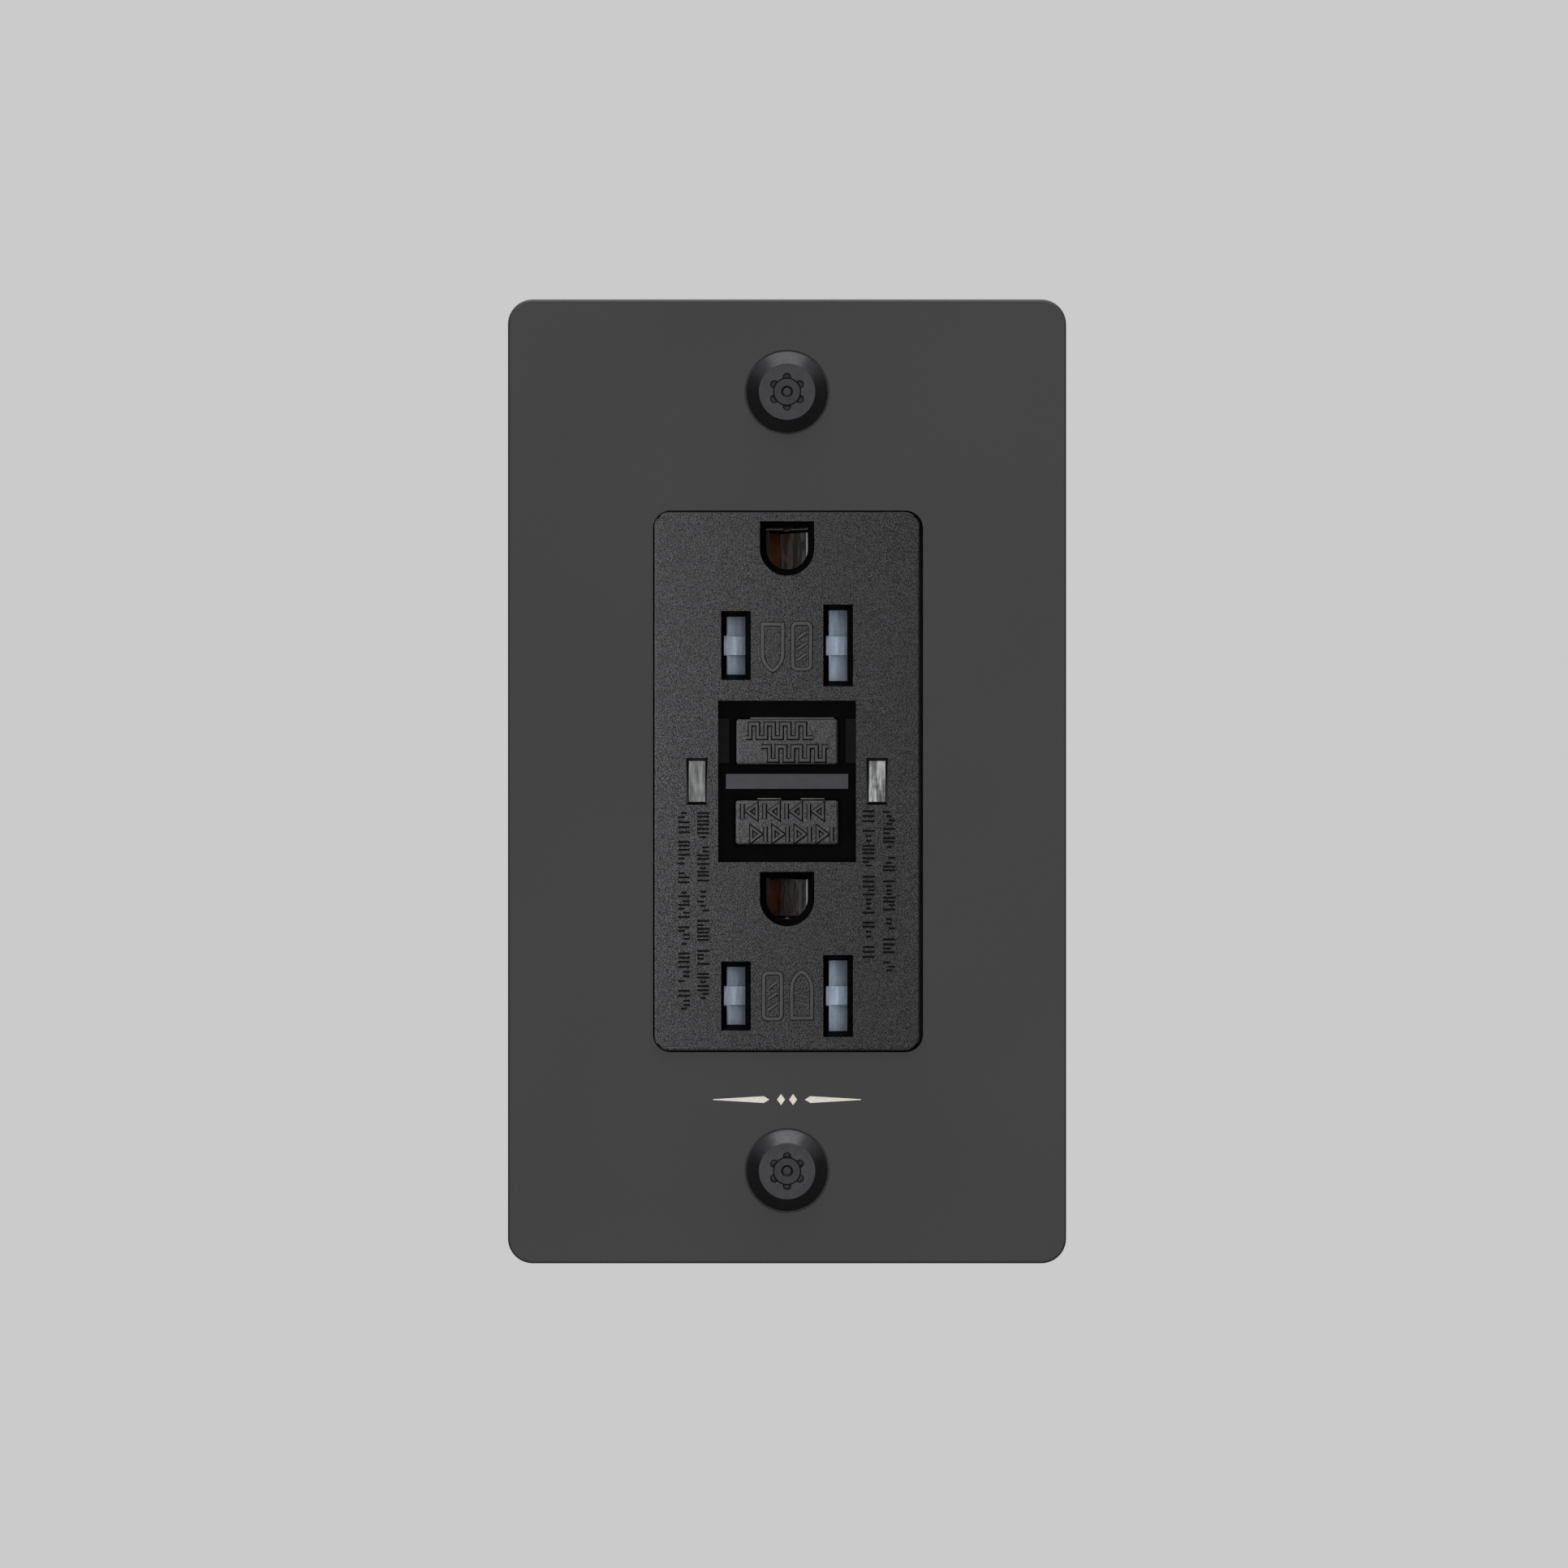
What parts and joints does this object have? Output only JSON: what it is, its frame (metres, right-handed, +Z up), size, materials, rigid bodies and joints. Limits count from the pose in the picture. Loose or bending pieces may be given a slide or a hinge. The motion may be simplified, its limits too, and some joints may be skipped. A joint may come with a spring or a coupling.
{
  "type": "duplex wall outlet",
  "caption": "Ground-fault duplex wall outlet with shuttered blade slots, test and reset push buttons and indicator windows, in a flat screw-fixed wall plate.",
  "frame": {"origin": "centre of the wall plate's back rim, on the finished wall, midway between the two box screws", "axes": "+Z up, +X to the right as seen from the room, +Y into the wall"},
  "size_m": [0.0694, 0.0352, 0.12],
  "materials": {
    "plate": "satin",
    "screw_black": "satin",
    "face_plastic": "fine grain",
    "button_plastic": "fine grain",
    "lens": "clear light guide",
    "shutter_plastic": "translucent",
    "housing_plastic": "fine texture",
    "inner_plastic": "moulded",
    "zinc_steel": "zinc plated",
    "spring_steel": "drawn wire",
    "brass": "stamped",
    "silver_contact": "silver alloy",
    "green_steel": "green dyed",
    "copper_coil": "enamelled copper",
    "core_wrap": "enamelled winding",
    "bobbin_nylon": "nylon",
    "board": "solder mask",
    "varistor_epoxy": "epoxy",
    "film_case": "moulded",
    "can_sleeve": "sleeve",
    "component_black": "epoxy",
    "resistor_coat": "lacquer",
    "lamp": "lamp body"
  },
  "bodies": {
    "base": {"box_screws": "zinc_steel", "brass_terminal_screws": "brass", "circuit_board": "board", "clamp_plates": "brass", "control_chip": "component_black", "core_holder": "inner_plastic", "diodes": "component_black", "electrolytic_capacitor": "can_sleeve", "film_capacitor": "film_case", "fixed_contacts": "silver_contact", "front_cover": "face_plastic", "ground_contact_lower": "brass", "ground_contact_upper": "brass", "ground_rivets": "brass", "ground_screw": "green_steel", "hot_arm_post": "brass", "hot_bus": "brass", "hot_line_terminal": "brass", "housing_screws": "zinc_steel", "indicator_lamps": "lamp", "light_pipe_left": "lens", "light_pipe_right": "lens", "middle_housing": "inner_plastic", "mounting_strap": "zinc_steel", "neutral_arm_post": "brass", "neutral_bus": "brass", "neutral_core": "core_wrap", "neutral_line_terminal": "brass", "plate_screws": "screw_black", "rear_housing": "housing_plastic", "reset_spring": "spring_steel", "resistors": "resistor_coat", "sensing_core": "core_wrap", "shutter_base_lower": "inner_plastic", "shutter_base_upper": "inner_plastic", "shutter_spring_lower": "spring_steel", "shutter_spring_upper": "spring_steel", "silver_terminal_screws": "zinc_steel", "solenoid_bobbin": "bobbin_nylon", "solenoid_coil": "copper_coil", "solenoid_yoke": "zinc_steel", "test_contact": "brass", "test_spring": "spring_steel", "thyristor": "component_black", "varistor": "varistor_epoxy", "wall_plate": "plate"},
    "test": {"test_button": "button_plastic"},
    "reset": {"reset_button": "button_plastic", "reset_pin": "zinc_steel"},
    "upper_shutter": {"shutter_upper": "shutter_plastic"},
    "lower_shutter": {"shutter_lower": "shutter_plastic"},
    "lift": {"lifter": "inner_plastic"},
    "latch": {"latch_plate": "zinc_steel"},
    "armature": {"plunger": "zinc_steel"},
    "hot_contact_arm": {"hot_arm": "brass", "hot_arm_contact": "silver_contact"},
    "neutral_contact_arm": {"neutral_arm": "brass", "neutral_arm_contact": "silver_contact"}
  },
  "joints": [
    {"name": "test_press", "type": "slide", "parent": "base", "child": "test", "axis": [0, 1, 0], "range_m": [0, 0.0015], "stiffness_N_per_m": 300, "springref_m": -0.003, "deforming": ["test_spring"]},
    {"name": "reset_press", "type": "slide", "parent": "base", "child": "reset", "axis": [0, 1, 0], "range_m": [0, 0.0023], "stiffness_N_per_m": 400, "springref_m": -0.004, "deforming": ["reset_spring"]},
    {"name": "upper_shutter_slide", "type": "slide", "parent": "base", "child": "upper_shutter", "axis": [-1, 0, 0], "range_m": [0, 0.003], "stiffness_N_per_m": 100, "springref_m": -0.004, "deforming": ["shutter_spring_upper"]},
    {"name": "lower_shutter_slide", "type": "slide", "parent": "base", "child": "lower_shutter", "axis": [-1, 0, 0], "range_m": [0, 0.003], "stiffness_N_per_m": 100, "springref_m": -0.004, "deforming": ["shutter_spring_lower"]},
    {"name": "lifter_slide", "type": "slide", "parent": "base", "child": "lift", "axis": [0, -1, 0], "range_m": [0, 0.0015], "stiffness_N_per_m": 200, "springref_m": -0.002},
    {"name": "hot_arm_hinge", "type": "hinge", "parent": "base", "child": "hot_contact_arm", "pos_m": [-0.0075, 0.01515, 0.008], "axis": [-1, 0, 0], "range_deg": [0, 6.6]},
    {"name": "neutral_arm_hinge", "type": "hinge", "parent": "base", "child": "neutral_contact_arm", "pos_m": [0.0075, 0.01515, 0.008], "axis": [-1, 0, 0], "range_deg": [0, 6.6]},
    {"name": "plunger_slide", "type": "slide", "parent": "base", "child": "armature", "axis": [0, 0, 1], "range_m": [0, 0.001], "stiffness_N_per_m": 100, "springref_m": -0.002},
    {"name": "latch_slide", "type": "slide", "parent": "lift", "child": "latch", "axis": [0, 0, 1], "range_m": [0, 0.001]}
  ],
  "couplings": [
    {"joint": "hot_arm_hinge", "follows": "lifter_slide", "rad_per_m": 76.005},
    {"joint": "neutral_arm_hinge", "follows": "lifter_slide", "rad_per_m": 76.005},
    {"joint": "latch_slide", "follows": "plunger_slide", "ratio": 1}
  ]
}
